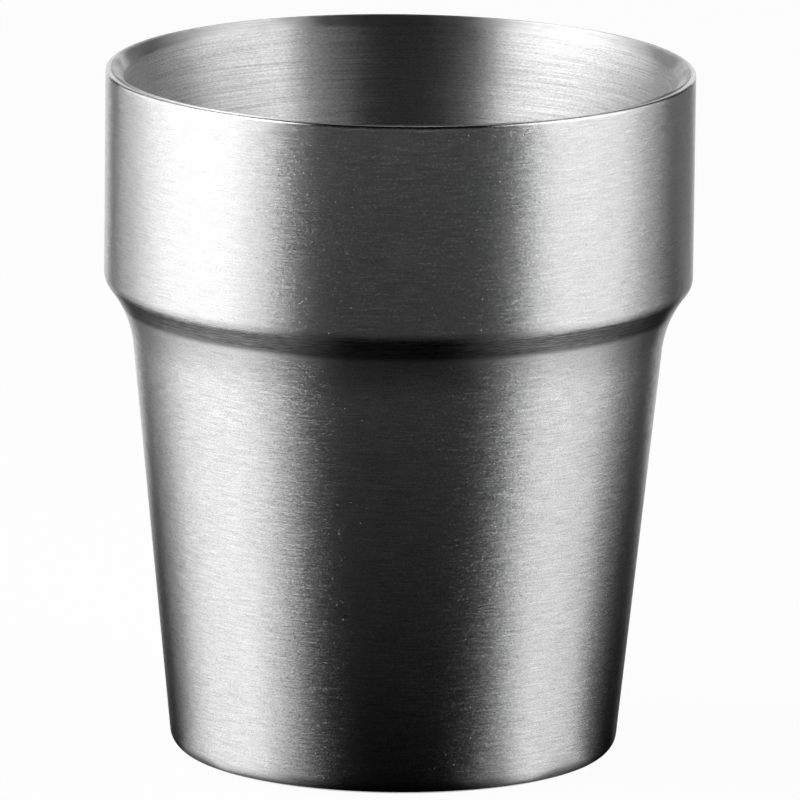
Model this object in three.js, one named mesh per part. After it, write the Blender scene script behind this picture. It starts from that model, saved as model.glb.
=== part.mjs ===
// Double-walled steel cup: a drawn outer shell and a drawn inner liner, welded together at the lip,
// with a base plate welded in below and the space between the two walls pumped empty.
// Millimetres, +Z up. The origin is the centre of the plane that the foot stands on.

import * as THREE from "three";

// Outer shell, on its outside face
const CUP_HEIGHT = 94;
const RIM_RADIUS = 40;
const SHOULDER_HEIGHT = 65.1; // where the collar would meet the shoulder cone
const SHOULDER_BEND = 2.5;
const NECK_RADIUS = 36.4; // where the shoulder cone would meet the body
const NECK_HEIGHT = 60.5;
const NECK_BEND = 16.5;
const FOOT_RADIUS = 30.25; // where the body would meet the floor
const FOOT_BEND = 2.5;
const FOOT_LAND = 1.2; // flat width of the ring that the cup stands on
const FLANGE_BEND = 0.9;
const SHELL_SHEET = 0.5;
const EDGE_ROUND = 0.4;

// Lip and liner
const LINER_SHEET = 0.5;
const LIP_WELD_WIDTH = 0.15; // weld showing on the land, between the two cut edges
const LIP_WELD_DEPTH = 0.7;
const BEVEL_WIDTH = 1.1;
const BEVEL_DROP = 1.15;
const BEVEL_BEND = 0.8;
const WALL_GAP = 1.8; // empty space between the two walls of the body
const KNEE_BEND = 40;
const FLOOR_BEND = 7;

// Base plate and what closes it
const PLATE_SHEET = 0.5;
const PLATE_BEND = 0.9;
const LAP_HEIGHT = 1.2; // length of the base plate's rim that lies against the shell's flange
const LAP_CLEARANCE = 0.05;
const BASE_WELD_LEG = 0.6;
const BASE_WELD_ROUND = 0.4;
const PUMP_HOLE_RADIUS = 1;
const DIMPLE_RISE = 1.2;
const DIMPLE_FLAT = 1.8; // flat ring round the pump hole
const DIMPLE_SLOPE_WIDTH = 2.2;
const SEAL_CLEARANCE = 0.3;
const COVER_SHEET = 0.5;
const COVER_CLEARANCE = 0.3;
const COVER_ROUND = 0.2;
const BOND_HEIGHT = 0.2;
const BOND_WIDTH = 4;
const BOND_INSET = 3; // from the cover's edge to the bond ring

// Getter and foil, inside the empty space
const PELLET_RADIUS = 4;
const PELLET_HEIGHT = 1.6;
const PELLET_CLEARANCE = 0.1;
const HOLDER_SHEET = 0.3;
const HOLDER_BEND = 0.5;
const HOLDER_LIP = 1;
const HOLDER_GAP = 3; // from the dimple to the holder
const FLOOR_CLEARANCE = 1.6; // from the holder up to the liner
const FOIL_SHEET = 0.1;
const FOIL_CLEARANCE = 0.1;
const FOIL_MARGIN = 4; // bare liner left above and below the foil

// Fineness of the round shapes
const TURNS = 60;
const SMALL_TURNS = 24;
const ARC_STEP = THREE.MathUtils.degToRad(30);

// Heights and radii that follow from the sizes above
const bodyTaper = Math.atan2(NECK_RADIUS - FOOT_RADIUS, NECK_HEIGHT);
const footSetback = FOOT_BEND * Math.tan((Math.PI / 2 - bodyTaper) / 2);
const flangeRadius = FOOT_RADIUS - footSetback - FOOT_LAND - FLANGE_BEND;
const plateEdge = FLANGE_BEND + BASE_WELD_LEG;
const flangeTop = plateEdge + LAP_HEIGHT;
const plateTop = flangeTop + PLATE_BEND;
const plateUnder = plateTop - PLATE_SHEET;
const plateRadius = flangeRadius - LAP_CLEARANCE;
const dimpleFlatRadius = PUMP_HOLE_RADIUS + DIMPLE_FLAT;
const dimpleRadius = dimpleFlatRadius + DIMPLE_SLOPE_WIDTH;
const coverTop = plateUnder - BOND_HEIGHT;
const coverRadius = plateRadius - PLATE_SHEET - COVER_CLEARANCE;
const holderFloor = plateTop + HOLDER_SHEET;
const holderInnerRadius = PELLET_RADIUS + PELLET_CLEARANCE;
const holderLipHeight = holderFloor + PELLET_HEIGHT + PELLET_CLEARANCE;
const holderOffset = dimpleRadius + HOLDER_GAP + holderInnerRadius + HOLDER_SHEET;
const linerFloor = holderLipHeight + HOLDER_SHEET + FLOOR_CLEARANCE + LINER_SHEET;
const bevelAngle = Math.atan2(BEVEL_WIDTH, BEVEL_DROP);
const shellInnerRadius = RIM_RADIUS - SHELL_SHEET;
const linerEdgeRadius = shellInnerRadius - LIP_WELD_WIDTH;
const lipRadius = linerEdgeRadius - LINER_SHEET / Math.cos(bevelAngle);
const mouthRadius = lipRadius - BEVEL_WIDTH;
const mouthHeight = CUP_HEIGHT - BEVEL_DROP;

// Radius, at a height, of a cone that lies a distance inside the body of the shell.
function insideBody(height, distance) {
  return FOOT_RADIUS + height * Math.tan(bodyTaper) - distance / Math.cos(bodyTaper);
}

// A corner of a face: where two straight stretches would meet, and the radius it is bent to.
function corner(radius, height, bend = 0) {
  return { point: new THREE.Vector2(radius, height), bend };
}

function heading(from, to) {
  return to.point.clone().sub(from.point).normalize();
}

// The side that the metal lies on, for somebody who walks along a face.
function rightOf(direction) {
  return new THREE.Vector2(direction.y, -direction.x);
}

// The far face of a sheet, with its corners mitred and its bends kept parallel.
function farFace(face, sheet) {
  return face.map((here, i) => {
    const last = face.length - 1;
    const leaving = heading(face[Math.min(i, last - 1)], face[Math.min(i + 1, last)]);
    const arriving = heading(face[Math.max(i - 1, 0)], face[Math.max(i, 1)]);
    const mitre = rightOf(arriving).add(rightOf(leaving));
    const point = here.point.clone().addScaledVector(mitre, sheet / (1 + arriving.dot(leaving)));
    const isEnd = i === 0 || i === last;
    const bend = isEnd ? 0 : Math.max(0, here.bend + sheet * Math.sign(arriving.cross(leaving)));
    return { point, bend };
  });
}

// The points of one corner: the corner itself, or the arc that it is bent to.
function bentCorner(previous, here, next) {
  if (here.bend === 0) return [here.point];
  const arriving = heading(previous, here);
  const leaving = heading(here, next);
  const turn = Math.atan2(arriving.cross(leaving), arriving.dot(leaving));
  const setback = here.bend * Math.tan(Math.abs(turn) / 2);
  const start = here.point.clone().addScaledVector(arriving, -setback);
  const centre = start.clone().addScaledVector(rightOf(arriving), -Math.sign(turn) * here.bend);
  const startAngle = start.clone().sub(centre).angle();
  const arc = new THREE.ArcCurve(centre.x, centre.y, here.bend, startAngle, startAngle + turn, turn < 0);
  return arc.getPoints(Math.ceil(Math.abs(turn) / ARC_STEP));
}

// A section's points, closed on itself or left open where it starts and ends on the axis.
function section(corners) {
  const count = corners.length;
  const points = corners.flatMap((here, i) => {
    return bentCorner(corners[(i + count - 1) % count], here, corners[(i + 1) % count]);
  });
  const onAxis = corners[0].point.x === 0;
  return onAxis ? points : [...points, points[0].clone()];
}

function sheetSection(face, sheet) {
  return section([...face, ...farFace(face, sheet).reverse()]);
}

function steel(colour, roughness) {
  return new THREE.MeshStandardMaterial({ color: colour, roughness, metalness: 1 });
}

// A named piece turned round the +Z axis from its section, which runs clockwise round the metal.
function turnedPiece(name, points, material, turns = TURNS) {
  const geometry = new THREE.LatheGeometry(points.toReversed(), turns);
  geometry.rotateX(Math.PI / 2);
  const mesh = new THREE.Mesh(geometry, material);
  mesh.name = name;
  return mesh;
}

function outerShell() {
  const face = [
    corner(RIM_RADIUS, CUP_HEIGHT, EDGE_ROUND),
    corner(RIM_RADIUS, SHOULDER_HEIGHT, SHOULDER_BEND),
    corner(NECK_RADIUS, NECK_HEIGHT, NECK_BEND),
    corner(FOOT_RADIUS, 0, FOOT_BEND),
    corner(flangeRadius, 0, FLANGE_BEND),
    corner(flangeRadius, flangeTop),
  ];
  return turnedPiece("outer_shell", sheetSection(face, SHELL_SHEET), steel(0xb8babc, 0.34));
}

// The liner's lip is cut level with the land, so its far edge is set there after the offset.
function innerLiner() {
  const wallDistance = SHELL_SHEET + WALL_GAP + LINER_SHEET;
  const face = [
    corner(0, linerFloor),
    corner(insideBody(linerFloor, wallDistance), linerFloor, FLOOR_BEND),
    corner(insideBody(NECK_HEIGHT, wallDistance), NECK_HEIGHT, KNEE_BEND),
    corner(mouthRadius, mouthHeight, BEVEL_BEND),
    corner(lipRadius, CUP_HEIGHT),
  ];
  const outside = farFace(face, LINER_SHEET);
  outside[outside.length - 1] = corner(linerEdgeRadius, CUP_HEIGHT);
  return turnedPiece("inner_liner", section([...face, ...outside.reverse()]), steel(0xb2b4b6, 0.3));
}

// The weld fills the V between the shell and the underside of the liner's bevel.
function rimWeldBead() {
  const root = CUP_HEIGHT - LIP_WELD_DEPTH;
  const corners = [
    corner(linerEdgeRadius, CUP_HEIGHT),
    corner(shellInnerRadius, CUP_HEIGHT),
    corner(shellInnerRadius, root),
    corner(linerEdgeRadius - LIP_WELD_DEPTH * Math.tan(bevelAngle), root),
  ];
  return turnedPiece("rim_weld_bead", section(corners), steel(0xc4c5c6, 0.2));
}

function basePlate() {
  const face = [
    corner(PUMP_HOLE_RADIUS, plateTop + DIMPLE_RISE),
    corner(dimpleFlatRadius, plateTop + DIMPLE_RISE),
    corner(dimpleRadius, plateTop),
    corner(plateRadius, plateTop, PLATE_BEND),
    corner(plateRadius, plateEdge),
  ];
  return turnedPiece("base_plate", sheetSection(face, PLATE_SHEET), steel(0xa6a8aa, 0.45));
}

function baseWeldBead() {
  const inside = plateRadius - PLATE_SHEET;
  const corners = [
    corner(inside, plateEdge),
    corner(flangeRadius, plateEdge),
    corner(flangeRadius, plateEdge - BASE_WELD_LEG),
    corner(inside, plateEdge - BASE_WELD_LEG, BASE_WELD_ROUND),
  ];
  return turnedPiece("base_weld_bead", section(corners), steel(0x9a9894, 0.4));
}

// Solder glass, melted into the dimple from below over the pump hole.
function sealBead() {
  const top = plateUnder + DIMPLE_RISE;
  const bottom = plateUnder + SEAL_CLEARANCE;
  const radius = dimpleFlatRadius - SEAL_CLEARANCE;
  const corners = [
    corner(0, top),
    corner(radius, top),
    corner(radius, bottom, (top - bottom) / 2),
    corner(0, bottom),
  ];
  const glass = new THREE.MeshStandardMaterial({ color: 0x4b4038, roughness: 0.25, metalness: 0 });
  return turnedPiece("seal_bead", section(corners), glass, SMALL_TURNS);
}

// A pan that stands on the base plate, its rim rolled in over the pellet.
function getterHolder() {
  const face = [
    corner(0, holderFloor),
    corner(holderInnerRadius, holderFloor, HOLDER_BEND),
    corner(holderInnerRadius, holderLipHeight, HOLDER_BEND),
    corner(holderInnerRadius - HOLDER_LIP, holderLipHeight),
  ];
  const points = sheetSection(face, HOLDER_SHEET);
  const mesh = turnedPiece("getter_holder", points, steel(0x9fa1a3, 0.4), SMALL_TURNS);
  mesh.position.x = holderOffset;
  return mesh;
}

function getterPellet() {
  const top = holderFloor + PELLET_HEIGHT;
  const corners = [
    corner(0, top),
    corner(PELLET_RADIUS, top, HOLDER_BEND),
    corner(PELLET_RADIUS, holderFloor, HOLDER_BEND),
    corner(0, holderFloor),
  ];
  const alloy = new THREE.MeshStandardMaterial({ color: 0x5a5a5d, roughness: 0.85, metalness: 0.5 });
  const mesh = turnedPiece("getter_pellet", section(corners), alloy, SMALL_TURNS);
  mesh.position.x = holderOffset;
  return mesh;
}

function foilWrap() {
  const near = SHELL_SHEET + WALL_GAP - FOIL_CLEARANCE;
  const far = near - FOIL_SHEET;
  const bottom = linerFloor + FLOOR_BEND + FOIL_MARGIN;
  const top = NECK_HEIGHT - FOIL_MARGIN;
  const corners = [
    corner(insideBody(bottom, near), bottom),
    corner(insideBody(top, near), top),
    corner(insideBody(top, far), top),
    corner(insideBody(bottom, far), bottom),
  ];
  return turnedPiece("foil_wrap", section(corners), steel(0xb87544, 0.22));
}

function coverBondRing() {
  const outside = coverRadius - BOND_INSET;
  const inside = outside - BOND_WIDTH;
  const corners = [
    corner(inside, plateUnder),
    corner(outside, plateUnder),
    corner(outside, coverTop),
    corner(inside, coverTop),
  ];
  const adhesive = new THREE.MeshStandardMaterial({ color: 0xd4d1c8, roughness: 0.6, metalness: 0 });
  return turnedPiece("cover_bond_ring", section(corners), adhesive);
}

function baseCover() {
  const bottom = coverTop - COVER_SHEET;
  const corners = [
    corner(0, coverTop),
    corner(coverRadius, coverTop, COVER_ROUND),
    corner(coverRadius, bottom, COVER_ROUND),
    corner(0, bottom),
  ];
  return turnedPiece("base_cover", section(corners), steel(0xb5b7b9, 0.36));
}

const cup = new THREE.Group();
cup.add(outerShell(), innerLiner(), rimWeldBead());
cup.add(basePlate(), baseWeldBead(), sealBead());
cup.add(getterHolder(), getterPellet(), foilWrap());
cup.add(coverBondRing(), baseCover());

export default cup;
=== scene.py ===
"""Double-walled steel cup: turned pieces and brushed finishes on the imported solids, in a small studio."""
import math
from typing import NamedTuple

import bpy
from bpy.props import FloatProperty, FloatVectorProperty, IntProperty, PointerProperty
from mathutils import Matrix, Vector


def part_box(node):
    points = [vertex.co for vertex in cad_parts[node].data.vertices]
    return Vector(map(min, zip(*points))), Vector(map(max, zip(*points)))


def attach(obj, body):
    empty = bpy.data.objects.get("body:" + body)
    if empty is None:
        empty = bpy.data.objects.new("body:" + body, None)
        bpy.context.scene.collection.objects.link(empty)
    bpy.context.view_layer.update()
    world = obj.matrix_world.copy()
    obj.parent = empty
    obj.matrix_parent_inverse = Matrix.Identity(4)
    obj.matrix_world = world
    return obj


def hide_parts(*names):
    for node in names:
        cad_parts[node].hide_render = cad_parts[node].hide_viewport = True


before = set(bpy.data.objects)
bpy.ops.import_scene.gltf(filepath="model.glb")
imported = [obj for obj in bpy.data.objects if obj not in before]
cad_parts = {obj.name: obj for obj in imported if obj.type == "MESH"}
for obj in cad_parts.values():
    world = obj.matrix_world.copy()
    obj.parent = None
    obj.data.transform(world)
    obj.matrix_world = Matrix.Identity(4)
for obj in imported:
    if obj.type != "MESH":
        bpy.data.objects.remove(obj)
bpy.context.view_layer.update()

bl_info = {
    "name": "Double-walled steel cup",
    "version": (1, 0, 0),
    "blender": (4, 5, 0),
    "location": "3D View > Sidebar > Cup",
    "description": "Builds a double-walled steel cup from turned sheet-metal pieces",
    "category": "Object",
}

_, SHELL_HIGH = (Vector(c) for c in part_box("outer_shell"))
LINER_LOW, LINER_HIGH = (Vector(c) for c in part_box("inner_liner"))
WELD_LOW, WELD_HIGH = (Vector(c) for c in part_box("rim_weld_bead"))
PLATE_LOW, PLATE_HIGH = (Vector(c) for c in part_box("base_plate"))
SEAM_LOW, SEAM_HIGH = (Vector(c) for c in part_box("base_weld_bead"))
COVER_LOW, COVER_HIGH = (Vector(c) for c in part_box("base_cover"))


def length(label, description, default):
    """A size in metres that a user may change."""
    return FloatProperty(name=label, description=description, default=default, min=0, precision=5,
                         subtype="DISTANCE", unit="LENGTH")


def colour(label, description, default):
    return FloatVectorProperty(name=label, description=description, default=default, size=3,
                               min=0, max=1, subtype="COLOR")


def share(label, description, default):
    return FloatProperty(name=label, description=description, default=default, min=0, max=1, subtype="FACTOR")


def angle(label, description, degrees):
    return FloatProperty(name=label, description=description, default=math.radians(degrees),
                         subtype="ANGLE", unit="ROTATION")


def brightness(label, description, default):
    return FloatProperty(name=label, description=description, default=default, min=0)


class CupSizes(bpy.types.PropertyGroup):
    """Sizes of the drawn sheets, from the frame where a solid's box gives them."""

    height: length("Height", "Foot to lip", SHELL_HIGH.z)
    rim_radius: length("Rim radius", "Outside of the collar", SHELL_HIGH.x)
    shoulder_height: length("Shoulder height", "Where the collar would meet the shoulder cone", 0.0651)
    shoulder_bend: length("Shoulder bend", "Radius between collar and shoulder", 0.0025)
    neck_radius: length("Neck radius", "Where the shoulder cone would meet the body", 0.0364)
    neck_height: length("Neck height", "Where the shoulder cone would meet the body", 0.0605)
    neck_bend: length("Neck bend", "Radius between shoulder and body", 0.0165)
    foot_radius: length("Foot radius", "Where the body would meet the floor", 0.03025)
    foot_bend: length("Foot bend", "Radius of the lower corner", 0.0025)
    flange_radius: length("Flange radius", "Inside of the foot ring", SEAM_HIGH.x)
    flange_bend: length("Flange bend", "Radius between foot ring and flange", 0.0009)
    flange_height: length("Flange height", "Top of the turned-up flange", 0.0027)
    shell_sheet: length("Shell sheet", "Thickness of the outer shell", SHELL_HIGH.x - WELD_HIGH.x)
    edge_round: length("Edge round", "Radius of the lip's outer edge", 0.0004)
    liner_sheet: length("Liner sheet", "Thickness of the inner liner", 0.0005)
    bevel_width: length("Bevel width", "Bevel inside the lip, across", 0.0011)
    bevel_drop: length("Bevel drop", "Bevel inside the lip, down", 0.00115)
    bevel_bend: length("Bevel bend", "Radius between bevel and wall", 0.0008)
    wall_gap: length("Wall gap", "Empty space between the walls", 0.0018)
    knee_bend: length("Knee bend", "Radius of the liner's change of taper", 0.04)
    floor_bend: length("Floor bend", "Radius between the liner's wall and floor", 0.007)
    plate_sheet: length("Plate sheet", "Thickness of the base plate", 0.0005)
    plate_bend: length("Plate bend", "Radius of the base plate's rim", 0.0009)
    dimple_rise: length("Dimple rise", "Height of the dimple round the pump hole", 0.0012)
    pump_hole: length("Pump hole", "Radius of the pump hole", 0.001)
    dimple_flat: length("Dimple flat", "Radius of the dimple's flat", 0.0028)
    dimple_radius: length("Dimple radius", "Radius of the dimple's foot", 0.005)
    seam_round: length("Seam round", "Radius of the base weld's bead", 0.0004)
    ripple_depth: length("Ripple depth", "Depth of the base weld's ripples", 0.00008)
    ripples: IntProperty(name="Ripples", description="Ripples round the base weld", default=180, min=0)
    cover_round: length("Cover round", "Radius of the cover's edge", 0.0002)
    turns: IntProperty(name="Turns", description="Facets round the axis", default=192, min=24)
    seam_turns: IntProperty(name="Seam turns", description="Facets round the base weld", default=1440, min=24)
    bend_steps: IntProperty(name="Bend steps", description="Facets of one bend", default=14, min=2)
    stretch: length("Longest stretch", "Longest facet along a straight wall", 0.002)


class CupFinish(bpy.types.PropertyGroup):
    """Colours of the metals."""

    shell_colour: colour("Shell", "Steel of the outer shell", (0.62, 0.62, 0.622))
    liner_colour: colour("Liner", "Steel of the liner", (0.73, 0.73, 0.732))
    lip_colour: colour("Lip", "Polished steel of the lip", (0.66, 0.66, 0.662))
    plate_colour: colour("Base plate", "Mill-finish steel", (0.52, 0.52, 0.525))
    seam_colour: colour("Base weld", "Weld metal", (0.46, 0.45, 0.44))
    tint_colour: colour("Heat tint", "Straw colour beside a weld", (0.5, 0.4, 0.25))
    cover_colour: colour("Base cover", "Brushed steel", (0.6, 0.6, 0.602))
    holder_colour: colour("Getter holder", "Pressed steel", (0.5, 0.5, 0.505))
    getter_colour: colour("Getter", "Sintered alloy", (0.1, 0.1, 0.11))
    foil_colour: colour("Foil", "Rolled copper", (0.72, 0.42, 0.26))
    glass_colour: colour("Seal", "Solder glass", (0.07, 0.055, 0.045))
    adhesive_colour: colour("Bond", "Cured adhesive", (0.66, 0.63, 0.58))


class CupStage(bpy.types.PropertyGroup):
    """Camera, lamps and cards."""

    elevation: angle("Elevation", "Camera above the horizon", 12.28)
    roll: angle("Roll", "Turn of the camera about its own axis", 0.675)
    distance: length("Distance", "Camera to its aim", 2.141)
    aim_side: length("Aim side", "Aim to the right of the axis", 0.0004)
    aim_height: length("Aim height", "Aim above the foot", 0.04817)
    lens: FloatProperty(
        name="Lens", description="Focal length in mm, for the sensor's width", default=708.2, min=1)
    sensor: FloatProperty(name="Sensor", description="Width of the sensor, in mm", default=36, min=1)
    left_light: brightness("Left softbox", "Brightness seen in a mirror", 2.62)
    right_light: brightness("Right softbox", "Brightness seen in a mirror", 1.8)
    room: brightness("Room", "Grey of the unlit room", 0.005)
    glow: share("Glow", "How far the paper is white by itself", 0.95)
    dome_radius: length("Dome radius", "White dome behind the views from the sides", 3.6)
    floor_colour: colour("Floor", "Pale floor", (0.9, 0.9, 0.9))


class Corner(NamedTuple):
    """Where two straight stretches of a section would meet, and the radius that they are bent to."""

    radius: float
    height: float
    bend: float = 0.0
    ripple: float = 0.0


def heading(start, end):
    return Vector((end.radius - start.radius, end.height - start.height)).normalized()


def right_of(direction):
    return Vector((direction.y, -direction.x))


def far_face(face, sheet):
    """The other side of a sheet whose metal lies to the right of its face."""
    last = len(face) - 1
    offset = []
    for i, here in enumerate(face):
        arriving = heading(face[max(i - 1, 0)], face[max(i, 1)])
        leaving = heading(face[min(i, last - 1)], face[min(i + 1, last)])
        shift = (right_of(arriving) + right_of(leaving)) * sheet / (1 + arriving.dot(leaving))
        side = arriving.x * leaving.y - arriving.y * leaving.x
        bend = max(0.0, here.bend + math.copysign(sheet, side)) if 0 < i < last else 0.0
        offset.append(Corner(here.radius + shift.x, here.height + shift.y, bend))
    return offset


def sheet_section(face, sheet):
    return face + far_face(face, sheet)[::-1]


def add_node(tree, kind, inputs=None, **settings):
    """Add a node, set it up, and set or link each named input."""
    node = tree.nodes.new(kind)
    for name, value in settings.items():
        setattr(node, name, value)
    for name, value in (inputs or {}).items():
        if isinstance(value, bpy.types.NodeSocket):
            tree.links.new(value, node.inputs[name])
        else:
            node.inputs[name].default_value = value
    return node


def math_node(tree, operation, *values):
    return add_node(tree, "ShaderNodeMath", dict(enumerate(values)), operation=operation).outputs[0]


def vector_node(tree, operation, *values):
    return add_node(tree, "ShaderNodeVectorMath", dict(enumerate(values)), operation=operation).outputs[0]


def scaled(tree, vector, factor):
    return add_node(tree, "ShaderNodeVectorMath", {0: vector, "Scale": factor}, operation="SCALE").outputs[0]


def mixed(tree, share_of_second, first, second):
    return add_node(tree, "ShaderNodeMix", {"Factor": share_of_second, "A": first, "B": second}).outputs[0]


def fade(tree, value, start, end, low=0.0, high=1.0):
    """A smooth step from low, where the value is at start, to high, where it is at end."""
    return add_node(tree, "ShaderNodeMapRange", {
        "Value": value, "From Min": start, "From Max": end, "To Min": low, "To Max": high},
        interpolation_type="SMOOTHSTEP").outputs[0]


# The range that most of a noise's values lie in.
NOISE_LOW, NOISE_HIGH = 0.3, 0.7


def spread(tree, value, low, high):
    """A noise's usual range stretched to low and high."""
    return add_node(tree, "ShaderNodeMapRange", {
        "Value": value, "From Min": NOISE_LOW, "From Max": NOISE_HIGH, "To Min": low, "To Max": high},
        clamp=False).outputs[0]


def grey_ramp(tree, value, stops):
    """A grey for a value from 0 to 1, from (place, grey) stops."""
    node = add_node(tree, "ShaderNodeValToRGB", {"Fac": value})
    elements = node.color_ramp.elements
    while len(elements) < len(stops):
        elements.new(0.5)
    for element, (place, grey) in zip(elements, stops):
        element.position = place
        element.color = (grey, grey, grey, 1)
    node.color_ramp.interpolation = "EASE"
    return node.outputs["Color"]


def rounded_outline(tree, given):
    """The section as a closed curve, with its corners bent and its straight stretches split."""
    bend = add_node(tree, "GeometryNodeInputNamedAttribute", {"Name": "bend"}, data_type="FLOAT")
    outline = add_node(tree, "GeometryNodeMeshToCurve", {"Mesh": given["Section"]})
    rounded = add_node(tree, "GeometryNodeFilletCurve", {
        "Curve": outline.outputs[0], "Count": given["Bend steps"], "Radius": bend.outputs["Attribute"],
        "Limit Radius": True}, mode="POLY")
    here = add_node(tree, "GeometryNodeInputPosition").outputs[0]
    following = add_node(tree, "GeometryNodeOffsetPointInCurve", {"Offset": 1}).outputs["Point Index"]
    there = add_node(tree, "GeometryNodeFieldAtIndex", {"Index": following, "Value": here},
                     data_type="FLOAT_VECTOR").outputs[0]
    gap = add_node(tree, "ShaderNodeVectorMath", {0: here, 1: there}, operation="DISTANCE").outputs["Value"]
    cuts = math_node(tree, "DIVIDE", gap, given["Longest stretch"])
    split = add_node(tree, "GeometryNodeSubdivideCurve", {"Curve": rounded.outputs[0], "Cuts": cuts})
    return split.outputs[0]


def wrapped_grid(tree, given, outline):
    """A grid with a row for each point of the outline, wrapped round the Z axis and dipped by the ripples."""
    points = add_node(tree, "GeometryNodeAttributeDomainSize", {0: outline}, component="CURVE")
    count = points.outputs["Point Count"]
    rows = math_node(tree, "ADD", count, 1)
    columns = math_node(tree, "ADD", given["Turns"], 1)
    grid = add_node(tree, "GeometryNodeMeshGrid", {"Vertices X": columns, "Vertices Y": rows})
    index = add_node(tree, "GeometryNodeInputIndex").outputs[0]
    row = math_node(tree, "MODULO", math_node(tree, "MODULO", index, rows), count)
    column = math_node(tree, "FLOOR", math_node(tree, "DIVIDE", index, rows))
    column = math_node(tree, "MODULO", column, given["Turns"])
    turn = math_node(tree, "DIVIDE", math_node(tree, "MULTIPLY", column, math.tau), given["Turns"])

    here = add_node(tree, "GeometryNodeInputPosition").outputs[0]
    point = add_node(tree, "GeometryNodeSampleIndex", {"Geometry": outline, "Value": here, "Index": row},
                     data_type="FLOAT_VECTOR").outputs[0]
    mark = add_node(tree, "GeometryNodeInputNamedAttribute", {"Name": "ripple"}, data_type="FLOAT")
    rippled = add_node(tree, "GeometryNodeSampleIndex", {
        "Geometry": outline, "Value": mark.outputs["Attribute"], "Index": row}, data_type="FLOAT").outputs[0]
    wave = math_node(tree, "SINE", math_node(tree, "MULTIPLY", turn, given["Ripples"]))
    dip = math_node(tree, "MULTIPLY", math_node(tree, "MULTIPLY_ADD", wave, 0.5, 0.5), given["Ripple depth"])
    dip = math_node(tree, "MULTIPLY", dip, rippled)
    shift = add_node(tree, "ShaderNodeCombineXYZ", {"X": dip, "Z": dip}).outputs[0]
    place = add_node(tree, "ShaderNodeVectorRotate", {
        "Vector": vector_node(tree, "ADD", point, shift), "Angle": turn}, rotation_type="Z_AXIS").outputs[0]

    wrapped = add_node(tree, "GeometryNodeSetPosition", {"Geometry": grid.outputs["Mesh"], "Position": place})
    return wrapped.outputs[0]


# Points nearer to each other than this, in metres, are one where a turned piece closes.
SEAM_CLOSING = 1e-7


def turned_piece_tree():
    """Geometry nodes that round a section's corners and turn it round the Z axis."""
    tree = bpy.data.node_groups.new("Turned piece", "GeometryNodeTree")
    for name, kind in (
            ("Section", "Geometry"), ("Bend steps", "Int"), ("Longest stretch", "Float"), ("Turns", "Int"),
            ("Ripples", "Int"), ("Ripple depth", "Float"), ("Finish", "Material")):
        tree.interface.new_socket(name, in_out="INPUT", socket_type="NodeSocket" + kind)
    tree.interface.new_socket("Piece", in_out="OUTPUT", socket_type="NodeSocketGeometry")
    given = tree.nodes.new("NodeGroupInput").outputs

    wrapped = wrapped_grid(tree, given, rounded_outline(tree, given))
    closed = add_node(tree, "GeometryNodeMergeByDistance", {"Geometry": wrapped, "Distance": SEAM_CLOSING})
    smooth = add_node(tree, "GeometryNodeSetShadeSmooth", {
        "Geometry": closed.outputs[0], "Shade Smooth": True})
    real = add_node(tree, "GeometryNodeRealizeInstances", {"Geometry": smooth.outputs[0]})
    dressed = add_node(tree, "GeometryNodeSetMaterial", {
        "Geometry": real.outputs[0], "Material": given["Finish"]})
    add_node(tree, "NodeGroupOutput", {"Piece": dressed.outputs[0]})
    return tree


def turned_piece(name, corners, finish, sizes, **changes):
    """A piece turned from a section, as a plain mesh. Named changes replace the tree's usual inputs."""
    mesh = bpy.data.meshes.new(name + "_section")
    count = len(corners)
    points = [(c.radius, 0, c.height) for c in corners]
    mesh.from_pydata(points, [(i, (i + 1) % count) for i in range(count)], [])
    mesh.attributes.new("bend", "FLOAT", "POINT").data.foreach_set("value", [c.bend for c in corners])
    mesh.attributes.new("ripple", "FLOAT", "POINT").data.foreach_set("value", [c.ripple for c in corners])
    piece = bpy.data.objects.new(name, mesh)
    bpy.context.scene.collection.objects.link(piece)
    tree = bpy.data.node_groups.get("Turned piece") or turned_piece_tree()
    modifier = piece.modifiers.new("Turned piece", "NODES")
    modifier.node_group = tree
    values = {"Bend steps": sizes.bend_steps, "Longest stretch": sizes.stretch, "Turns": sizes.turns,
              "Ripples": 0, "Ripple depth": 0.0, "Finish": finish, **changes}
    for socket in tree.interface.items_tree:
        if socket.name in values:
            modifier[socket.identifier] = values[socket.name]
    evaluated = piece.evaluated_get(bpy.context.evaluated_depsgraph_get())
    piece.data = bpy.data.meshes.new_from_object(evaluated)
    piece.modifiers.clear()
    bpy.data.meshes.remove(mesh)
    piece.data.name = name
    return piece


def stand_for(piece, node):
    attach(piece, "root")
    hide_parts(node)


def inside_body(sizes, height, distance):
    """Radius of a cone that lies a distance inside the shell's body."""
    taper = math.atan2(sizes.neck_radius - sizes.foot_radius, sizes.neck_height)
    return sizes.foot_radius + height * math.tan(taper) - distance / math.cos(taper)


def lip_radius(sizes):
    """Inner edge of the lip's flat land."""
    bevel = math.atan2(sizes.bevel_width, sizes.bevel_drop)
    return LINER_HIGH.x - sizes.liner_sheet / math.cos(bevel)


def shader_group(name, inputs, outputs):
    """A new shader group with float inputs, and its input sockets."""
    tree = bpy.data.node_groups.new(name, "ShaderNodeTree")
    for label, default in inputs.items():
        socket = tree.interface.new_socket(label, in_out="INPUT", socket_type="NodeSocketFloat")
        socket.default_value = default
    for label, kind in outputs.items():
        tree.interface.new_socket(label, in_out="OUTPUT", socket_type="NodeSocket" + kind)
    return tree, tree.nodes.new("NodeGroupInput").outputs


class Place(NamedTuple):
    """Where a point of a turned surface is: its own coordinates, and its way along the section."""

    point: bpy.types.NodeSocket
    x: bpy.types.NodeSocket
    y: bpy.types.NodeSocket
    z: bpy.types.NodeSocket
    radius: bpy.types.NodeSocket
    along: bpy.types.NodeSocket


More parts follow.
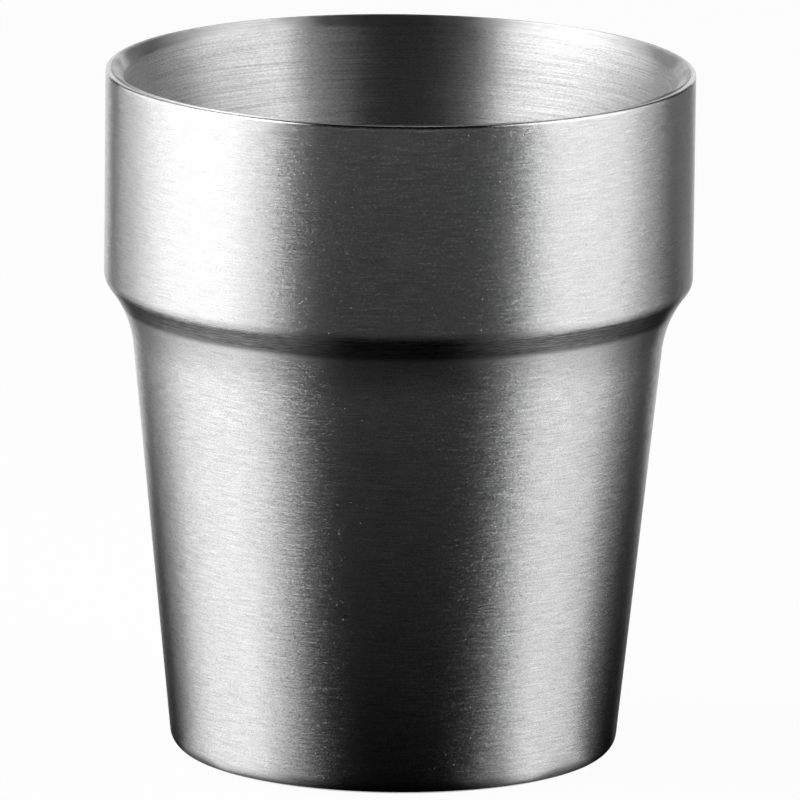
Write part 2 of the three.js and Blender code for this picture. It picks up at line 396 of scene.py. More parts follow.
def turned_place(tree):
    point = add_node(tree, "ShaderNodeTexCoord").outputs["Object"]
    x, y, z = add_node(tree, "ShaderNodeSeparateXYZ", {0: point}).outputs
    flat = add_node(tree, "ShaderNodeCombineXYZ", {0: x, 1: y}).outputs[0]
    radius = add_node(tree, "ShaderNodeVectorMath", {0: flat}, operation="LENGTH").outputs["Value"]
    return Place(point, x, y, z, radius, math_node(tree, "ADD", radius, z))


# How fast a brushed scratch's lean grows with the square of its depth.
DEEP_SCRATCHES = 25.0
# The streaks' part in the lean, as a share of their part in the shade.
STREAK_LEAN = 0.7


def brushing_group():
    """Fine grain and longer streaks round the axis, and the normal that they and any dents tilt sideways."""
    tree, given = shader_group("Turned brushing", {
        "Grain length": 0.0004, "Streak length": 0.004, "Streak share": 0.3, "Pitch": 0.0002, "Tilt": 0.1,
        "Dents": 0.0}, {"Streaks": "Float", "Normal": "Vector"})
    place = turned_place(tree)
    across = math_node(tree, "DIVIDE", place.along, given["Pitch"])

    def layer(run):
        where = add_node(tree, "ShaderNodeCombineXYZ", {
            0: math_node(tree, "DIVIDE", place.x, run),
            1: math_node(tree, "DIVIDE", place.y, run),
            2: across})
        noise = add_node(tree, "ShaderNodeTexNoise", {
            "Vector": where.outputs[0], "Scale": 1.0, "Detail": 1.0, "Roughness": 0.6})
        return noise.outputs["Color"]

    grain = add_node(tree, "ShaderNodeSeparateXYZ", {0: layer(given["Grain length"])}).outputs
    streak = add_node(tree, "ShaderNodeSeparateXYZ", {0: layer(given["Streak length"])}).outputs
    streaks = mixed(tree, given["Streak share"], grain[0], streak[0])
    lean = mixed(tree, math_node(tree, "MULTIPLY", given["Streak share"], STREAK_LEAN), grain[1], streak[1])

    lean = math_node(tree, "SUBTRACT", lean, 0.5)
    deeper = math_node(tree, "MULTIPLY_ADD", math_node(tree, "MULTIPLY", lean, lean), DEEP_SCRATCHES, 1.0)
    lean = math_node(tree, "MULTIPLY", math_node(tree, "MULTIPLY", lean, deeper), given["Tilt"])
    lean = math_node(tree, "ADD", lean, given["Dents"])
    ring = add_node(tree, "ShaderNodeCombineXYZ", {0: math_node(tree, "MULTIPLY", place.y, -1.0), 1: place.x})
    ring = vector_node(tree, "NORMALIZE", ring.outputs[0])
    normal = add_node(tree, "ShaderNodeNewGeometry").outputs["Normal"]
    tilted = vector_node(tree, "NORMALIZE", vector_node(tree, "ADD", normal, scaled(tree, ring, lean)))
    add_node(tree, "NodeGroupOutput", {"Streaks": streaks, "Normal": tilted})
    return tree


# Handling marks: how far they lean, and a speck's smallest size and solid core as shares of its radius.
SPECK_LEAN = 0.14
SCRATCH_LEAN = 0.07
SMALLEST_SPECK = 0.4
SPECK_CORE = 0.3


def marks_group():
    """Specks and short curved scratches spread over the unrolled surface, and how far each leans sideways."""
    tree, given = shader_group("Handling marks", {
        "Speck spacing": 0.0008, "Speck share": 0.5, "Speck radius": 0.0001,
        "Scratch spacing": 0.014, "Scratch share": 0.2, "Scratch length": 0.0008, "Scratch width": 0.00007},
        {"Marks": "Float", "Lean": "Float"})
    place = turned_place(tree)
    turn = math_node(tree, "ARCTAN2", place.x, math_node(tree, "MULTIPLY", place.y, -1.0))
    unrolled = add_node(tree, "ShaderNodeCombineXYZ", {
        0: math_node(tree, "MULTIPLY", turn, place.radius), 1: place.along}).outputs[0]

    def cells(spacing):
        scale = math_node(tree, "DIVIDE", 1.0, spacing)
        return add_node(tree, "ShaderNodeTexVoronoi", {"Vector": unrolled, "Scale": scale},
                        voronoi_dimensions="2D").outputs

    def chance(voronoi):
        return add_node(tree, "ShaderNodeSeparateColor", {0: voronoi["Color"]}).outputs

    dots = cells(given["Speck spacing"])
    luck = chance(dots)
    size = math_node(tree, "MULTIPLY_ADD", luck[1], 1 - SMALLEST_SPECK, SMALLEST_SPECK)
    size = math_node(tree, "MULTIPLY", size, given["Speck radius"])
    away = math_node(tree, "MULTIPLY", dots["Distance"], given["Speck spacing"])
    dot = fade(tree, away, size, math_node(tree, "MULTIPLY", size, SPECK_CORE))
    specks = math_node(tree, "MULTIPLY", dot, math_node(tree, "LESS_THAN", luck[0], given["Speck share"]))
    dent = math_node(tree, "MULTIPLY", specks, spread(tree, luck[2], -SPECK_LEAN, SPECK_LEAN))

    lines = cells(given["Scratch spacing"])
    luck = chance(lines)
    offset = vector_node(tree, "SUBTRACT", unrolled, lines["Position"])
    turned = add_node(tree, "ShaderNodeVectorRotate", {
        "Vector": offset, "Angle": math_node(tree, "MULTIPLY", luck[1], math.pi)}, rotation_type="Z_AXIS")
    run, side, _ = add_node(tree, "ShaderNodeSeparateXYZ", {0: turned.outputs[0]}).outputs
    sag = math_node(tree, "DIVIDE", math_node(tree, "MULTIPLY", run, run), given["Scratch length"])
    sag = math_node(tree, "MULTIPLY", sag, math_node(tree, "SUBTRACT", luck[2], 0.5))
    off = math_node(tree, "ABSOLUTE", math_node(tree, "ADD", side, sag))
    line = fade(tree, off, given["Scratch width"], 0.0)
    end = fade(tree, math_node(tree, "ABSOLUTE", run), given["Scratch length"], 0.0)
    scratches = math_node(tree, "MULTIPLY", math_node(tree, "MULTIPLY", line, end),
                          math_node(tree, "LESS_THAN", luck[0], given["Scratch share"]))
    groove = math_node(tree, "MULTIPLY", scratches, spread(tree, luck[2], SCRATCH_LEAN, -SCRATCH_LEAN))
    add_node(tree, "NodeGroupOutput", {
        "Marks": math_node(tree, "MAXIMUM", specks, scratches), "Lean": math_node(tree, "ADD", dent, groove)})
    return tree


def blotches_group():
    """Cloudy patches where a polish is duller, from soft patches with smaller ones in them."""
    tree, given = shader_group("Blotches", {"Patch size": 0.006}, {"Blotches": "Float"})
    where = scaled(tree, turned_place(tree).point, math_node(tree, "DIVIDE", 1.0, given["Patch size"]))
    noise = add_node(tree, "ShaderNodeTexNoise", {
        "Vector": where, "Scale": 1.0, "Detail": 4.0, "Roughness": 0.55, "Distortion": 0.4})
    add_node(tree, "NodeGroupOutput", {"Blotches": noise.outputs[0]})
    return tree


SHADER_GROUPS = {"Turned brushing": brushing_group, "Handling marks": marks_group, "Blotches": blotches_group}


def group_node(tree, name, **inputs):
    """A use of a shared shader group, made when it is first wanted."""
    group = bpy.data.node_groups.get(name) or SHADER_GROUPS[name]()
    named = {label.replace("_", " ").capitalize(): value for label, value in inputs.items()}
    return add_node(tree, "ShaderNodeGroup", named, node_tree=group).outputs


def new_material(name):
    material = bpy.data.materials.new(name)
    material.use_nodes = True
    material.node_tree.nodes.clear()
    return material, material.node_tree


class Brushing(NamedTuple):
    """How a sheet was brushed: its gloss, the lengths of its marks and how strong they are."""

    roughness: float
    grain: float
    streak: float
    streak_share: float
    pitch: float
    tilt: float
    contrast: float
    uneven: float
    coarser: float = 1.0


class Zone(NamedTuple):
    """A ring of heights: its shade (below 1, a painted shade), its gloss, its streaks and dull patches."""

    low: float
    high: float
    shade: float
    roughness: float
    streaky: float
    patchy: float
    soft: float


SHELL_BRUSHING = Brushing(roughness=0.345, grain=0.00018, streak=0.003, streak_share=0.38, pitch=0.0001,
                          tilt=0.28, contrast=0.28, uneven=0.09, coarser=1.7)
LINER_BRUSHING = Brushing(roughness=0.4, grain=0.0004, streak=0.012, streak_share=0.5, pitch=0.00012,
                          tilt=0.08, contrast=0.4, uneven=0.02)
PLATE_BRUSHING = Brushing(roughness=0.4, grain=0.0006, streak=0.006, streak_share=0.4, pitch=0.0003,
                          tilt=0.1, contrast=0.15, uneven=0.03)


# The smoother marks inside a zone: in the painted shade bands and on the polished lip.
DRAWN_MARKS = {
    "grain_length": 0.0015, "streak_length": 0.012, "streak_share": 0.5, "pitch": 0.00018, "tilt": 0.04}
# How far a zone's edge wanders up and down, and how softly coarse brushing ends, in metres.
RAGGED_EDGE = 0.0005
COARSE_EDGE = 0.001
# What a handling mark adds to the roughness.
MARK_DULLNESS = 0.1
# Heights, in metres, below and above all of the cup.
BELOW_ALL, ABOVE_ALL = -1.0, 1.0


def steel_finish(name, tint, brushing, zones=(), coarse_below=BELOW_ALL):
    """Brushed steel, brushed more coarsely below a height, with zones of painted shade or of polish."""
    material, tree = new_material(name)
    height = turned_place(tree).z
    strength = fade(tree, height, coarse_below, coarse_below + COARSE_EDGE, brushing.coarser, 1.0)
    marks = group_node(tree, "Handling marks")
    brushed = group_node(tree, "Turned brushing", grain_length=brushing.grain, streak_length=brushing.streak,
                         streak_share=brushing.streak_share, pitch=brushing.pitch,
                         tilt=math_node(tree, "MULTIPLY", strength, brushing.tilt), dents=marks["Lean"])
    patches = group_node(tree, "Blotches")[0]

    shade = math_node(tree, "MULTIPLY", strength, spread(tree, brushed["Streaks"], -1.0, 1.0))
    shade = math_node(tree, "MULTIPLY_ADD", shade, brushing.contrast, 1.0)
    rough = spread(tree, brushed["Streaks"], brushing.roughness + brushing.uneven,
                   brushing.roughness - brushing.uneven)
    normal = brushed["Normal"]
    if zones:
        smooth = group_node(tree, "Turned brushing", **DRAWN_MARKS)
        drawn = smooth["Streaks"]
        edge = mixed(tree, 0.5, drawn, brushed["Streaks"])
        ragged = math_node(tree, "ADD", height, spread(tree, edge, -RAGGED_EDGE, RAGGED_EDGE))
    # Each zone scales the colour by its shade: painted shade at the neck and low in the liner, none at the
    # lip.
    for zone in zones:
        inside = math_node(tree, "MULTIPLY", fade(tree, ragged, zone.low - zone.soft, zone.low + zone.soft),
                           fade(tree, ragged, zone.high + zone.soft, zone.high - zone.soft))
        streaks = spread(tree, drawn, zone.shade * (1 - zone.streaky), zone.shade * (1 + zone.streaky))
        shade = mixed(tree, inside, shade, streaks)
        dull = spread(tree, patches, zone.roughness - zone.patchy, zone.roughness + zone.patchy)
        rough = mixed(tree, inside, rough, dull)
        normal = add_node(tree, "ShaderNodeMix", {"Factor": inside, "A": normal, "B": smooth["Normal"]},
                          data_type="VECTOR").outputs["Result"]
    rough = math_node(tree, "ADD", rough, math_node(tree, "MULTIPLY", marks["Marks"], MARK_DULLNESS))

    tangent = add_node(tree, "ShaderNodeTangent", direction_type="RADIAL", axis="Z")
    shader = add_node(tree, "ShaderNodeBsdfPrincipled", {
        "Base Color": scaled(tree, (*tint,), shade), "Metallic": 1.0, "Roughness": rough,
        "Normal": normal, "Tangent": tangent.outputs[0], "Anisotropic": 1.0, "Anisotropic Rotation": 0.25})
    add_node(tree, "ShaderNodeOutputMaterial", {"Surface": shader.outputs[0]})
    return material


# Gloss of the lip's land and of the bevel inside it.
LIP_ROUGHNESS = 0.24
BEVEL_ROUGHNESS = 0.5


def polished_lip(low, roughness):
    """The ground and polished ring at the lip, from a height up."""
    return Zone(low, ABOVE_ALL, shade=1.0, roughness=roughness, streaky=0.16, patchy=roughness * 0.2,
                soft=0.0003)


# A weld: size of its tinted patches, in metres, how sharply the tint sets in, and its range of roughness.
TINT_PATCH = 0.003
HEAT_TINT_EDGE = (0.4, 0.65)
WELD_ROUGHNESS = (0.3, 0.45)


def weld_finish(name, tint, heat):
    """Bare weld metal with straw-coloured heat tint in patches."""
    material, tree = new_material(name)
    patches = group_node(tree, "Blotches", patch_size=TINT_PATCH)[0]
    tinted = add_node(tree, "ShaderNodeMix", {
        "Factor": fade(tree, patches, *HEAT_TINT_EDGE), "A": (*tint, 1), "B": (*heat, 1)}, data_type="RGBA")
    shader = add_node(tree, "ShaderNodeBsdfPrincipled", {
        "Base Color": tinted.outputs["Result"], "Metallic": 1.0,
        "Roughness": spread(tree, patches, *WELD_ROUGHNESS)})
    add_node(tree, "ShaderNodeOutputMaterial", {"Surface": shader.outputs[0]})
    return material


class Cast(NamedTuple):
    """A finish without brush marks: patches of two tones, its gloss, and how rough it is to the touch."""

    patch: float
    contrast: float
    metallic: float
    roughness: float
    bumps: float
    bump_size: float


SEAL_GLASS = Cast(
    patch=0.0008, contrast=0.3, metallic=0.0, roughness=0.16, bumps=0.00002, bump_size=0.0006)
PRESSED_STEEL = Cast(
    patch=0.002, contrast=0.12, metallic=1.0, roughness=0.34, bumps=0.00001, bump_size=0.0004)
SINTERED_ALLOY = Cast(
    patch=0.0006, contrast=0.5, metallic=0.6, roughness=0.75, bumps=0.00006, bump_size=0.00025)
ROLLED_FOIL = Cast(
    patch=0.012, contrast=0.16, metallic=1.0, roughness=0.22, bumps=0.0002, bump_size=0.006)
CURED_ADHESIVE = Cast(
    patch=0.0015, contrast=0.15, metallic=0.0, roughness=0.6, bumps=0.00005, bump_size=0.001)


# Share by which a cast finish's roughness varies over its bumps.
UNEVEN_GLOSS = 0.2


def cast_finish(name, tint, cast):
    material, tree = new_material(name)
    patches = group_node(tree, "Blotches", patch_size=cast.patch)[0]
    bumps = group_node(tree, "Blotches", patch_size=cast.bump_size)[0]
    shade = spread(tree, patches, 1 - cast.contrast, 1 + cast.contrast)
    rough = spread(tree, bumps, cast.roughness * (1 - UNEVEN_GLOSS), cast.roughness * (1 + UNEVEN_GLOSS))
    bump = add_node(tree, "ShaderNodeBump", {"Height": bumps, "Distance": cast.bumps})
    shader = add_node(tree, "ShaderNodeBsdfPrincipled", {
        "Base Color": scaled(tree, (*tint,), shade), "Metallic": cast.metallic, "Normal": bump.outputs[0],
        "Roughness": rough})
    add_node(tree, "ShaderNodeOutputMaterial", {"Surface": shader.outputs[0]})
    return material


# How far the painted shade band at the neck stops from the two corners of the shoulder cone, in metres.
SHADE_BAND_FROM_NECK = 0.0012
SHADE_BAND_FROM_SHOULDER = 0.0003


class CUP_OT_outer_shell(bpy.types.Operator):
    """Turn the outer shell from its drawn section"""

    bl_idname = "cup.outer_shell"
    bl_label = "Outer shell"

    def execute(self, context):
        sizes, finish = context.scene.cup_sizes, context.scene.cup_finish
        face = [
            Corner(sizes.rim_radius, sizes.height, sizes.edge_round),
            Corner(sizes.rim_radius, sizes.shoulder_height, sizes.shoulder_bend),
            Corner(sizes.neck_radius, sizes.neck_height, sizes.neck_bend),
            Corner(sizes.foot_radius, 0, sizes.foot_bend),
            Corner(sizes.flange_radius, 0, sizes.flange_bend),
            Corner(sizes.flange_radius, sizes.flange_height),
        ]
        # Painted shade: a streaked ring at about 0.3 of the steel's colour on the shoulder cone under the
        # collar.
        neck = Zone(sizes.neck_height + SHADE_BAND_FROM_NECK, sizes.shoulder_height - SHADE_BAND_FROM_SHOULDER,
                    shade=0.3, roughness=0.34, streaky=0.8, patchy=0.02, soft=0.0005)
        lip = polished_lip(sizes.height - sizes.edge_round, LIP_ROUGHNESS)
        steel = steel_finish("brushed_shell_steel", finish.shell_colour, SHELL_BRUSHING, (neck, lip),
                             sizes.neck_height)
        shell = turned_piece("brushed_outer_shell", sheet_section(face, sizes.shell_sheet), steel, sizes)
        stand_for(shell, "outer_shell")
        return {"FINISHED"}


class CUP_OT_inner_liner(bpy.types.Operator):
    """Turn the inner liner, from its floor up to its bevelled lip"""

    bl_idname = "cup.inner_liner"
    bl_label = "Inner liner"

    def execute(self, context):
        sizes, finish = context.scene.cup_sizes, context.scene.cup_finish
        depth = sizes.shell_sheet + sizes.wall_gap + sizes.liner_sheet
        floor = LINER_LOW.z + sizes.liner_sheet
        lip = lip_radius(sizes)
        face = [
            Corner(0, floor),
            Corner(inside_body(sizes, floor, depth), floor, sizes.floor_bend),
            Corner(inside_body(sizes, sizes.neck_height, depth), sizes.neck_height, sizes.knee_bend),
            Corner(lip - sizes.bevel_width, sizes.height - sizes.bevel_drop, sizes.bevel_bend),
            Corner(lip, sizes.height),
        ]
        outside = far_face(face, sizes.liner_sheet)
        outside[-1] = Corner(LINER_HIGH.x, sizes.height)
        # Painted shade deep in the cup: the liner at half its colour below the neck's height, fading over 15
        # mm each way.
        painted_deep_shade = Zone(BELOW_ALL, sizes.neck_height, shade=0.5, roughness=0.42, streaky=0.3, patchy=0.04,
                      soft=0.015)
        bevel = polished_lip(sizes.height - sizes.bevel_drop, BEVEL_ROUGHNESS)
        steel = steel_finish("brushed_liner_steel", finish.liner_colour, LINER_BRUSHING, (painted_deep_shade, bevel))
        liner = turned_piece("brushed_inner_liner", face + outside[::-1], steel, sizes)
        stand_for(liner, "inner_liner")
        return {"FINISHED"}


class CUP_OT_rim_weld(bpy.types.Operator):
    """Fill the gap between shell and liner on the lip with the weld, ground flush"""

    bl_idname = "cup.rim_weld"
    bl_label = "Rim weld"

    def execute(self, context):
        sizes, finish = context.scene.cup_sizes, context.scene.cup_finish
        depth = WELD_HIGH.z - WELD_LOW.z
        corners = [
            Corner(LINER_HIGH.x, WELD_HIGH.z),
            Corner(WELD_HIGH.x, WELD_HIGH.z),
            Corner(WELD_HIGH.x, WELD_LOW.z),
            Corner(LINER_HIGH.x - depth * sizes.bevel_width / sizes.bevel_drop, WELD_LOW.z),
        ]
        polish = polished_lip(0.0, LIP_ROUGHNESS)
        steel = steel_finish("polished_lip_steel", finish.lip_colour, SHELL_BRUSHING, (polish,))
        weld = turned_piece("polished_rim_weld", corners, steel, sizes)
        stand_for(weld, "rim_weld_bead")
        return {"FINISHED"}


# How much of the base weld's ripple is left at its outer edge.
EDGE_RIPPLE = 0.4


class CUP_OT_base_closure(bpy.types.Operator):
    """Turn the base plate, the rippled weld that holds it in the foot ring, and the cover that hides it"""

    bl_idname = "cup.base_closure"
    bl_label = "Base closure"

    def execute(self, context):
        sizes, finish = context.scene.cup_sizes, context.scene.cup_finish
        top = PLATE_HIGH.z - sizes.dimple_rise
        face = [
            Corner(sizes.pump_hole, PLATE_HIGH.z),
            Corner(sizes.dimple_flat, PLATE_HIGH.z, sizes.plate_sheet),
            Corner(sizes.dimple_radius, top, sizes.plate_sheet),
            Corner(PLATE_HIGH.x, top, sizes.plate_bend),
            Corner(PLATE_HIGH.x, PLATE_LOW.z),
        ]
        steel = steel_finish("mill_finish_steel", finish.plate_colour, PLATE_BRUSHING)
        plate = turned_piece("pressed_base_plate", sheet_section(face, sizes.plate_sheet), steel, sizes)
        stand_for(plate, "base_plate")

        inner = PLATE_HIGH.x - sizes.plate_sheet
        bead = [
            Corner(inner, SEAM_HIGH.z),
            Corner(SEAM_HIGH.x, SEAM_HIGH.z),
            Corner(SEAM_HIGH.x, SEAM_LOW.z, 0, EDGE_RIPPLE),
            Corner(inner, SEAM_LOW.z, sizes.seam_round, 1),
        ]
        metal = weld_finish("heat_tinted_weld", finish.seam_colour, finish.tint_colour)
        weld = turned_piece("rippled_base_weld", bead, metal, sizes, **{
            "Turns": sizes.seam_turns, "Ripples": sizes.ripples, "Ripple depth": sizes.ripple_depth})
        stand_for(weld, "base_weld_bead")

        disc = [
            Corner(0, COVER_HIGH.z),
            Corner(COVER_HIGH.x, COVER_HIGH.z, sizes.cover_round),
            Corner(COVER_HIGH.x, COVER_LOW.z, sizes.cover_round),
            Corner(0, COVER_LOW.z),
        ]
        steel = steel_finish("brushed_cover_steel", finish.cover_colour, SHELL_BRUSHING)
        cover = turned_piece("brushed_base_cover", disc, steel, sizes)
        stand_for(cover, "base_cover")
        return {"FINISHED"}


class CUP_OT_inside_pieces(bpy.types.Operator):
    """Finish the pieces that are sealed between the walls and under the base"""

    bl_idname = "cup.inside_pieces"
    bl_label = "Inside pieces"

    def execute(self, context):
        finish = context.scene.cup_finish
        finishes = {
            "seal_bead": cast_finish("solder_glass", finish.glass_colour, SEAL_GLASS),
            "getter_holder": cast_finish("pressed_holder_steel", finish.holder_colour, PRESSED_STEEL),
            "getter_pellet": cast_finish("sintered_getter", finish.getter_colour, SINTERED_ALLOY),
            "foil_wrap": cast_finish("rolled_copper_foil", finish.foil_colour, ROLLED_FOIL),
            "cover_bond_ring": cast_finish("cured_adhesive", finish.adhesive_colour, CURED_ADHESIVE),
        }
        for name, material in finishes.items():
            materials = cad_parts[name].data.materials
            materials.clear()
            materials.append(material)
        return {"FINISHED"}


class CUP_OT_stage(bpy.types.Operator):
    """Set up the floor, the backdrop, the dark mat, the softboxes and the camera"""

    bl_idname = "cup.stage"
    bl_label = "Stage"

    def execute(self, context):
        stage = context.scene.cup_stage
        paper = white_paper(stage)
        studio_floor(stage, paper)
        studio_dome(stage, paper)
        backdrop(paper)
        reflection_mat()
        softbox("left_softbox", LEFT_SOFTBOX, stage.left_light)
        softbox("right_softbox", RIGHT_SOFTBOX, stage.right_light)
        dim_room(context.scene, stage)
        photo_camera(context.scene, stage)
        return {"FINISHED"}


def stage_piece(name, points, faces, material):
    mesh = bpy.data.meshes.new(name)
    mesh.from_pydata(points, [], faces)
    mesh.materials.append(material)
    piece = bpy.data.objects.new(name, mesh)
    bpy.context.scene.collection.objects.link(piece)
    return piece


def white_paper(stage):
    """Pale paper that takes a shadow, with a clear back. The camera and reflections see it nearly white."""
    material, tree = new_material("white_paper")
    path = add_node(tree, "ShaderNodeLightPath").outputs
    seen = math_node(tree, "MAXIMUM", path["Is Camera Ray"], path["Is Glossy Ray"])
    seen = math_node(tree, "MAXIMUM", seen, path["Is Transmission Ray"])
    lit = add_node(tree, "ShaderNodeBsdfDiffuse", {"Color": (*stage.floor_colour, 1)})
    white = add_node(tree, "ShaderNodeEmission", {"Strength": seen})
    paper = add_node(tree, "ShaderNodeMixShader", {0: stage.glow, 1: lit.outputs[0], 2: white.outputs[0]})
    clear = add_node(tree, "ShaderNodeBsdfTransparent")
    back = add_node(tree, "ShaderNodeNewGeometry").outputs["Backfacing"]
    sheet = add_node(tree, "ShaderNodeMixShader", {0: back, 1: paper.outputs[0], 2: clear.outputs[0]})
    add_node(tree, "ShaderNodeOutputMaterial", {"Surface": sheet.outputs[0]})
    return material


def studio_floor(stage, paper):
    half = stage.dome_radius
    points = [(-half, -half, 0), (half, -half, 0), (half, half, 0), (-half, half, 0)]
    stage_piece("studio_floor", points, [(0, 1, 2, 3)], paper)


def studio_dome(stage, paper):
    """A white dome that only the camera sees, for the views from the sides and from below."""
    turns, rings = 48, 12
    points = [(0, 0, stage.dome_radius)]
    for i in range(1, rings + 1):
        slope = math.pi / 2 * i / rings
        for j in range(turns):
            turn = math.tau * j / turns
            points.append((stage.dome_radius * math.sin(slope) * math.cos(turn),
                           stage.dome_radius * math.sin(slope) * math.sin(turn),
                           stage.dome_radius * math.cos(slope)))
    faces = [(0, 1 + (j + 1) % turns, 1 + j) for j in range(turns)]
    for i in range(rings - 1):
        for j in range(turns):
            here, after = 1 + i * turns + j, 1 + i * turns + (j + 1) % turns
            faces.append((here, after, after + turns, here + turns))
    dome = stage_piece("studio_dome", points, faces, paper)
    dome.visible_diffuse = dome.visible_glossy = dome.visible_shadow = dome.visible_transmission = False


def backdrop(paper):
    """A white sheet far behind the cup, for the lip to mirror."""
    half, back, top = 1.6, 3.5, 1.8
    points = [(-half, back, 0), (half, back, 0), (half, back, top), (-half, back, top)]
    stage_piece("backdrop", points, [(0, 1, 2, 3)], paper)


# How dark the mat is: pairs of the turn of the shell's surface that mirrors it, in degrees, and a darkness.
MAT_FOOT = (
    (-90, 0.5), (-84, 0.9), (-80, 1), (-67.5, 1), (-52, 0), (-38.5, 0), (-23, 1),
    (26, 1), (36, 0.07), (47.5, 0.15), (59.2, 1), (84, 1), (90, 0.5))
MAT_NEAR = (
    (-90, 0), (-78, 0), (-73, 1), (-66.5, 1), (-53, 0), (-38.5, 0), (-23, 1),
    (26, 1), (36, 0.07), (48, 0.15), (59, 0.95), (73, 1), (77, 0.4), (81, 0), (90, 0))
MAT_FAR = (
    (-90, 0), (-79, 0), (-76, 0.85), (-73, 0.8), (-69, 0.42), (-52, 0.35), (-37, 0.35), (-20.5, 0.68),
    (22, 0.68), (31, 0.26), (51, 0.28), (64.5, 0.75), (80, 0.77), (83, 0.2), (90, 0.2))

# Reaches from the foot, in metres, over which the mat goes from one set of stops to the next.
MAT_TO_NEAR = (0.14, 0.2)
MAT_TO_FAR = (0.22, 0.3)
# The foot's own shadow on the mat: its reach in front and at the sides, in metres, and its solid share.
SHADOW_REACH = (0.0038, 0.009)
SHADOW_CORE = 0.55
# In shares of half a round: that shadow's middle, and how far off it starts and stops widening.
SHADOW_MIDDLE = 0.47
SHADOW_WIDENING = (0.23, 0.29)
# Grey of the mat's cloth.
MAT_GREY = 0.003


def mat_cloth():
    """Black cloth that is clear where the stops aren't dark, by each point's spoke and its reach along it."""
    material, tree = new_material("dark_mat")
    mark = add_node(tree, "ShaderNodeAttribute", attribute_name="spoke").outputs["Vector"]
    turn, reach, _ = add_node(tree, "ShaderNodeSeparateXYZ", {0: mark}).outputs
    foot, near, far = (grey_ramp(tree, turn, [(degrees / 180 + 0.5, dark) for degrees, dark in stops])
                       for stops in (MAT_FOOT, MAT_NEAR, MAT_FAR))
    dark = mixed(tree, fade(tree, reach, *MAT_TO_NEAR), foot, near)
    dark = mixed(tree, fade(tree, reach, *MAT_TO_FAR), dark, far)
    aside = math_node(tree, "ABSOLUTE", math_node(tree, "SUBTRACT", turn, SHADOW_MIDDLE))
    contact = fade(tree, aside, *SHADOW_WIDENING, *SHADOW_REACH)
    shadow = fade(tree, reach, contact, math_node(tree, "MULTIPLY", contact, SHADOW_CORE))
    dark = math_node(tree, "MAXIMUM", dark, shadow)
    clear = add_node(tree, "ShaderNodeBsdfTransparent")
    black = add_node(tree, "ShaderNodeBsdfDiffuse", {"Color": (MAT_GREY, MAT_GREY, MAT_GREY, 1)})
    both = add_node(tree, "ShaderNodeMixShader", {0: dark, 1: clear.outputs[0], 2: black.outputs[0]})
    add_node(tree, "ShaderNodeOutputMaterial", {"Surface": both.outputs[0]})
    return material


def reflection_mat():
    """A dark mat round the foot that only reflections see.

    Each spoke leaves the foot at a turn of the shell and runs where that turn mirrors the floor, so a shade
    that follows the spokes shows on the shell as an upright band.
    """
    spokes, inside, lift = 90, 0.028, 0.0004
    reaches = (0.0, 0.01, 0.02, 0.04, 0.08, 0.16, 0.32, 0.64, 1.3, 2.6)
    points, marks = [], []
    for i in range(spokes + 1):
        turn = math.pi * (i / spokes - 0.5)
        start = Vector((math.sin(turn), -math.cos(turn), 0)) * inside
        run = Vector((math.sin(2 * turn), -math.cos(2 * turn), 0))
        for reach in reaches:
            points.append(start + run * reach + Vector((0, 0, lift)))
            marks.extend((i / spokes, reach, 0))
    rings = len(reaches)
    faces = [(i * rings + j, i * rings + j + 1, (i + 1) * rings + j + 1, (i + 1) * rings + j)
             for i in range(spokes) for j in range(rings - 1)]
    mat = stage_piece("reflection_mat", points, faces, mat_cloth())
    mat.data.attributes.new("spoke", "FLOAT_VECTOR", "POINT").data.foreach_set("vector", marks)
    mat.visible_camera = mat.visible_diffuse = mat.visible_shadow = mat.visible_transmission = False


class Softbox(NamedTuple):
    """An area lamp that faces the axis. Azimuth is from the camera's side, and shades run from its left."""

    azimuth: float
    distance: float
    width: float
    tall: float
    shades: tuple


LEFT_SOFTBOX = Softbox(-90, 0.65, 1.5, 1.3, (
    (0, 0.2), (0.2, 0.5), (0.34, 0.85), (0.45, 1), (0.62, 1), (0.82, 0.68), (1, 0.04)))
RIGHT_SOFTBOX = Softbox(84, 0.7, 1.3, 1.3, (
    (0, 0), (0.085, 0), (0.21, 0.97), (0.4, 1), (0.58, 1), (0.8, 0.42), (1, 0.1)))

# Shares of a softbox's height where it starts and stops getting brighter, and its brightness there.
BOX_RISE = (0.2, 0.6)
BOX_BRIGHTNESS = (1.0, 1.5)


def softbox(name, box, brightness_seen):
    lamp = bpy.data.lights.new(name, "AREA")
    lamp.shape = "RECTANGLE"
    lamp.size, lamp.size_y = box.width, box.tall
    lamp.energy = brightness_seen * math.pi * box.width * box.tall
    lamp.use_nodes = True
    tree = lamp.node_tree
    tree.nodes.clear()
    spot = add_node(tree, "ShaderNodeNewGeometry").outputs["Parametric"]
    across, up, _ = add_node(tree, "ShaderNodeSeparateXYZ", {0: spot}).outputs
    rise = fade(tree, up, *BOX_RISE, *BOX_BRIGHTNESS)
    shade = math_node(tree, "MULTIPLY", grey_ramp(tree, across, box.shades), rise)
    glow = add_node(tree, "ShaderNodeEmission", {"Strength": shade})
    add_node(tree, "ShaderNodeOutputLight", {"Surface": glow.outputs[0]})
    holder = bpy.data.objects.new(name, lamp)
    turn = math.radians(box.azimuth)
    height = box.tall / 2
    holder.location = (box.distance * math.sin(turn), -box.distance * math.cos(turn), height)
    holder.rotation_euler = (Vector((0, 0, height)) - holder.location).to_track_quat("-Z", "Y").to_euler()
    holder.visible_camera = False
    bpy.context.scene.collection.objects.link(holder)


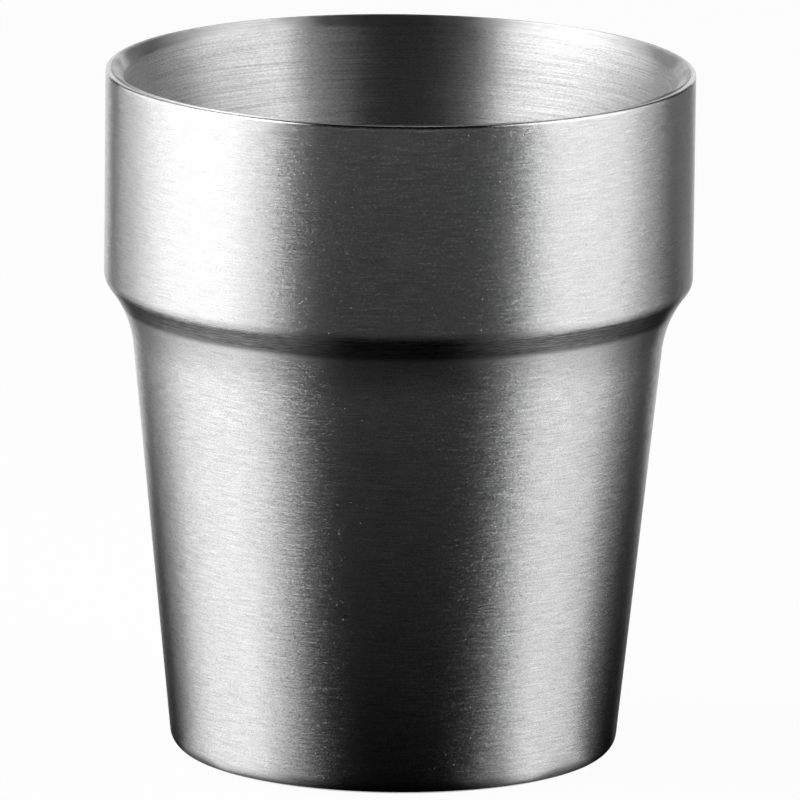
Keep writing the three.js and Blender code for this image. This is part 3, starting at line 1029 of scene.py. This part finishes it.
def dim_room(scene, stage):
    scene.world = bpy.data.worlds.new("dim_room")
    scene.world.use_nodes = True
    back = scene.world.node_tree.nodes["Background"]
    back.inputs["Color"].default_value = (stage.room, stage.room, stage.room, 1)


def photo_camera(scene, stage):
    data = bpy.data.cameras.new("photo_camera")
    data.sensor_width = stage.sensor
    data.lens = stage.lens
    camera = bpy.data.objects.new("photo_camera", data)
    back = Vector((0, -math.cos(stage.elevation), math.sin(stage.elevation)))
    aim = Vector((stage.aim_side, 0, stage.aim_height))
    place = Matrix.Translation(aim + back * stage.distance)
    tilt = Matrix.Rotation(math.pi / 2 - stage.elevation, 4, "X")
    camera.matrix_world = place @ tilt @ Matrix.Rotation(stage.roll, 4, "Z")
    scene.collection.objects.link(camera)
    scene.camera = camera
    scene.view_settings.view_transform = "Standard"


class CUP_PT_panel(bpy.types.Panel):
    """Lists the steps that build the cup"""

    bl_idname = "CUP_PT_panel"
    bl_label = "Double-walled steel cup"
    bl_space_type = "VIEW_3D"
    bl_region_type = "UI"
    bl_category = "Cup"

    def draw(self, context):
        for operator in OPERATORS:
            self.layout.operator(operator.bl_idname)


OPERATORS = (CUP_OT_outer_shell, CUP_OT_inner_liner, CUP_OT_rim_weld, CUP_OT_base_closure,
             CUP_OT_inside_pieces, CUP_OT_stage)
CLASSES = (CupSizes, CupFinish, CupStage, *OPERATORS, CUP_PT_panel)


def register():
    for each in CLASSES:
        bpy.utils.register_class(each)
    bpy.types.Scene.cup_sizes = PointerProperty(type=CupSizes)
    bpy.types.Scene.cup_finish = PointerProperty(type=CupFinish)
    bpy.types.Scene.cup_stage = PointerProperty(type=CupStage)


def unregister():
    del bpy.types.Scene.cup_stage
    del bpy.types.Scene.cup_finish
    del bpy.types.Scene.cup_sizes
    for each in reversed(CLASSES):
        bpy.utils.unregister_class(each)


def main():
    register()
    bpy.ops.cup.outer_shell()
    bpy.ops.cup.inner_liner()
    bpy.ops.cup.rim_weld()
    bpy.ops.cup.base_closure()
    bpy.ops.cup.inside_pieces()
    bpy.ops.cup.stage()


if __name__ == "__main__":
    main()
